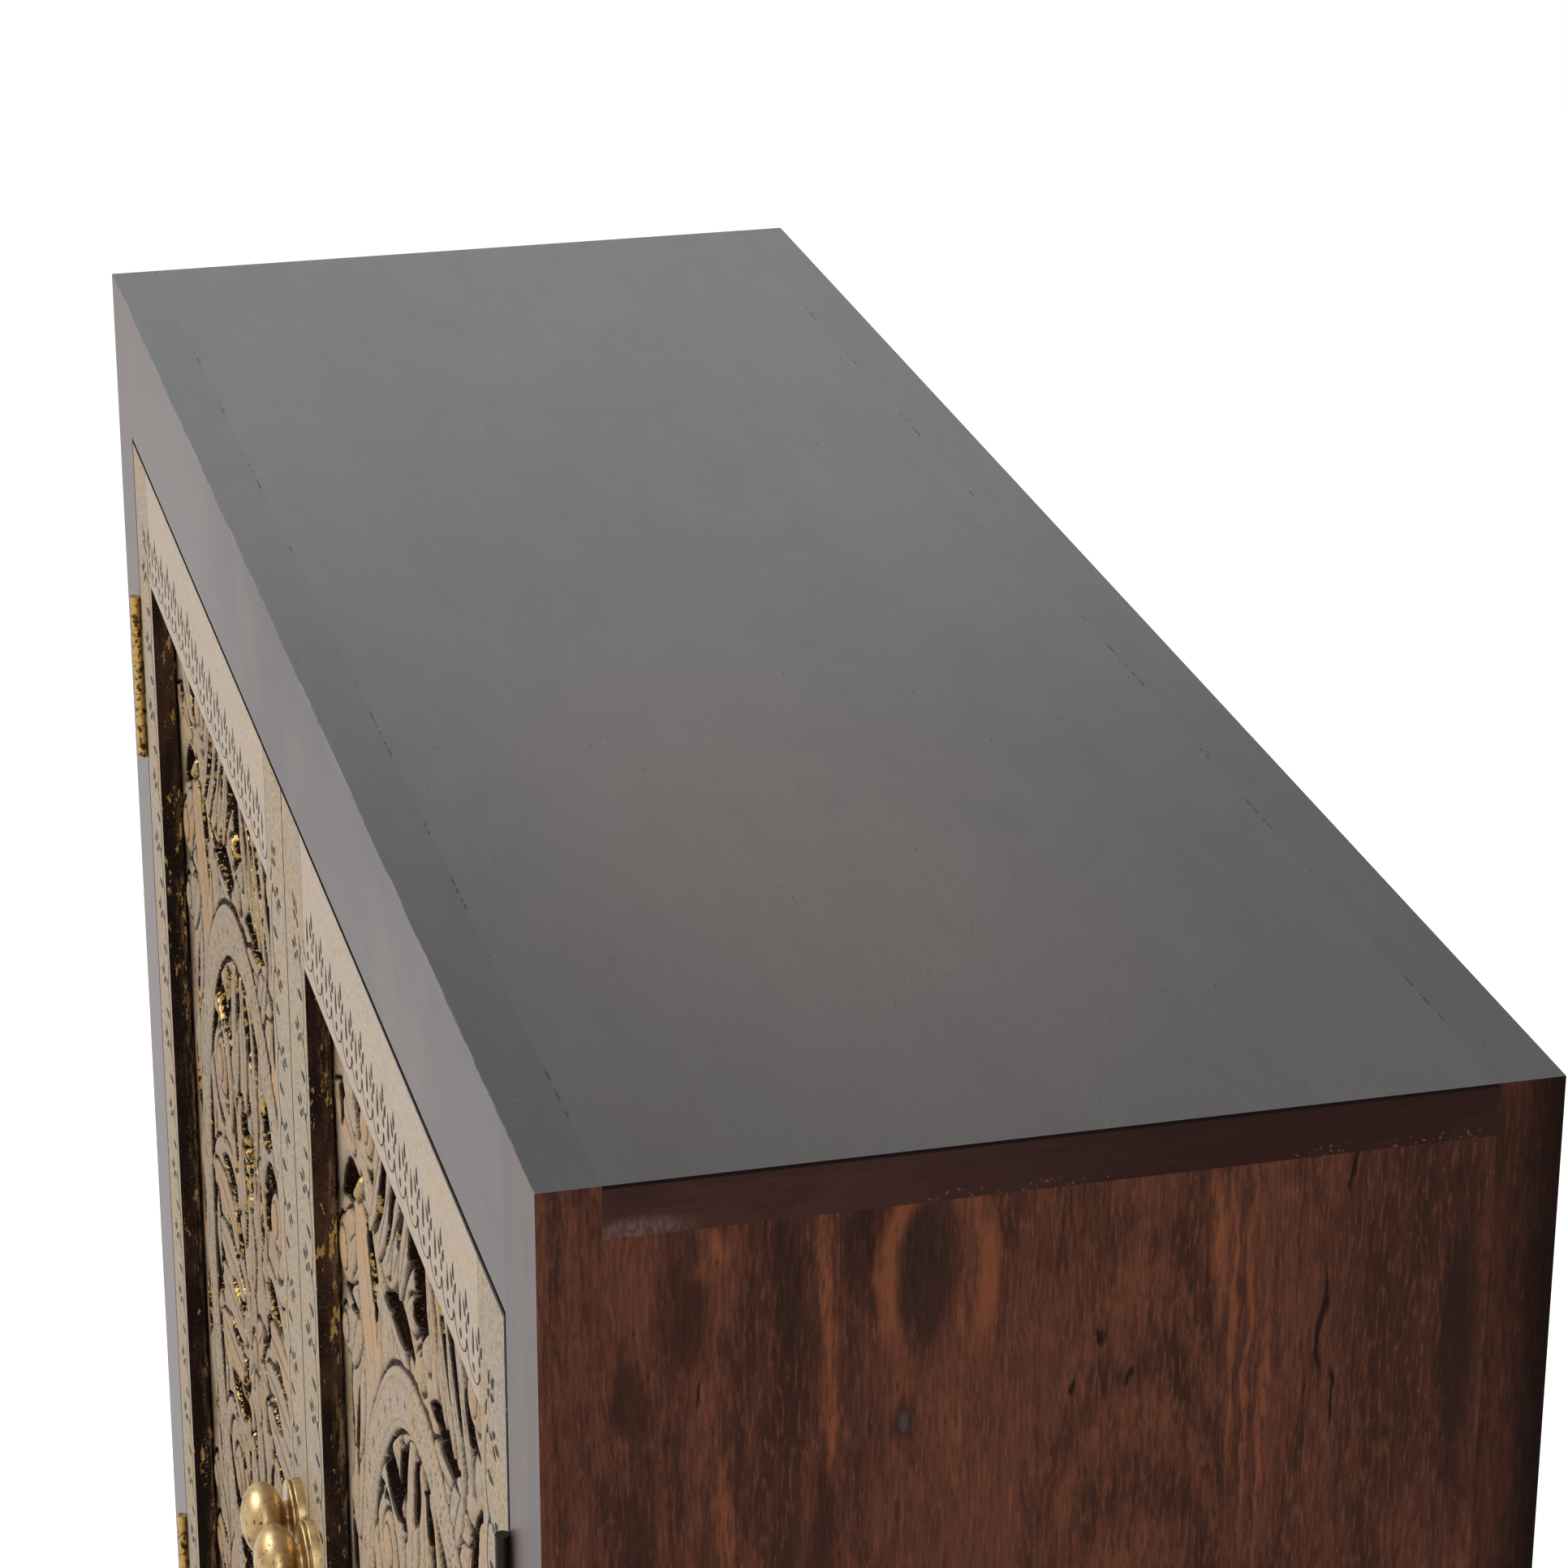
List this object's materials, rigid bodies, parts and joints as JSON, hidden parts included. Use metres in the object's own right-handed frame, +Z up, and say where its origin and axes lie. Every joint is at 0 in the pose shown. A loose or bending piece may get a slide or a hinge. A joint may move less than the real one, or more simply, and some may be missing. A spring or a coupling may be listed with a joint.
{
  "type": "two-door cabinet",
  "caption": "Dark wooden cabinet with hinged doors whose pierced, carved floral panels sit in painted frames, round gilt knobs, shelves inside, on block feet.",
  "frame": {"origin": "on the floor, under the middle of the cabinet's box, which runs from the front of the knobs to the back", "axes": "+Z up, doors face -Y, +X to the right as seen from the front"},
  "size_m": [1.2, 0.432, 1.15],
  "materials": {
    "case_wood": "satin dark reddish walnut stain over upright grain",
    "top_wood": "satin, near-black walnut stain, finely scratched",
    "inside_wood": "matt brown stain",
    "frame_paint": "distressed cream paint with a dark stencilled border",
    "carved_paint": "distressed cream and peach paint with gilt rubbed on the edges, dark brown in the cuts",
    "panel_backing": "matt near-black",
    "old_brass": "worn, darkened in patches",
    "gilt_brass": "brushed gold with dark wear specks",
    "steel": "zinc plated",
    "glide": "matt black"
  },
  "bodies": {
    "carcass": {"top_board": "top_wood", "front_left_stile": "case_wood", "front_right_stile": "case_wood", "front_top_rail": "case_wood", "front_bottom_rail": "case_wood", "left_side_board": "case_wood", "right_side_board": "case_wood", "bottom_board": "inside_wood", "back_left_post": "case_wood", "back_right_post": "case_wood", "back_top_rail": "case_wood", "back_bottom_rail": "case_wood", "back_panel": "inside_wood", "lower_shelf": "inside_wood", "upper_shelf": "inside_wood", "shelf_cleats": "inside_wood", "cleat_screws": "steel", "door_stop_strip": "inside_wood", "stop_strip_screws": "steel", "catch_magnets": "steel", "corner_blocks": "inside_wood", "front_left_foot": "case_wood", "front_right_foot": "case_wood", "back_left_foot": "case_wood", "back_right_foot": "case_wood", "foot_bolts": "steel", "foot_glides": "glide", "frame_hinge_screws": "old_brass", "left_frame_hinge_leaves": "old_brass", "left_hinge_pins": "old_brass", "right_frame_hinge_leaves": "old_brass", "right_hinge_pins": "old_brass"},
    "left_door": {"left_door_hinge_stile": "frame_paint", "left_door_meeting_stile": "frame_paint", "left_door_top_rail": "frame_paint", "left_door_bottom_rail": "frame_paint", "left_carved_panel": "carved_paint", "left_backing_board": "panel_backing", "left_door_hinge_leaves": "old_brass", "left_door_hinge_screws": "old_brass", "left_knob": "gilt_brass", "left_rosette": "gilt_brass", "left_knob_bolt": "steel", "left_strike_disc": "steel", "left_strike_screw": "steel"},
    "right_door": {"right_door_hinge_stile": "frame_paint", "right_door_meeting_stile": "frame_paint", "right_door_top_rail": "frame_paint", "right_door_bottom_rail": "frame_paint", "right_carved_panel": "carved_paint", "right_backing_board": "panel_backing", "right_door_hinge_leaves": "old_brass", "right_door_hinge_screws": "old_brass", "right_knob": "gilt_brass", "right_rosette": "gilt_brass", "right_knob_bolt": "steel", "right_strike_disc": "steel", "right_strike_screw": "steel"}
  },
  "joints": [
    {"name": "left_door_hinge", "type": "hinge", "parent": "carcass", "child": "left_door", "pos_m": [-0.539, -0.187, 0.615], "axis": [0, 0, -1], "range_deg": [0, 180]},
    {"name": "right_door_hinge", "type": "hinge", "parent": "carcass", "child": "right_door", "pos_m": [0.539, -0.187, 0.615], "axis": [0, 0, 1], "range_deg": [0, 180]}
  ]
}
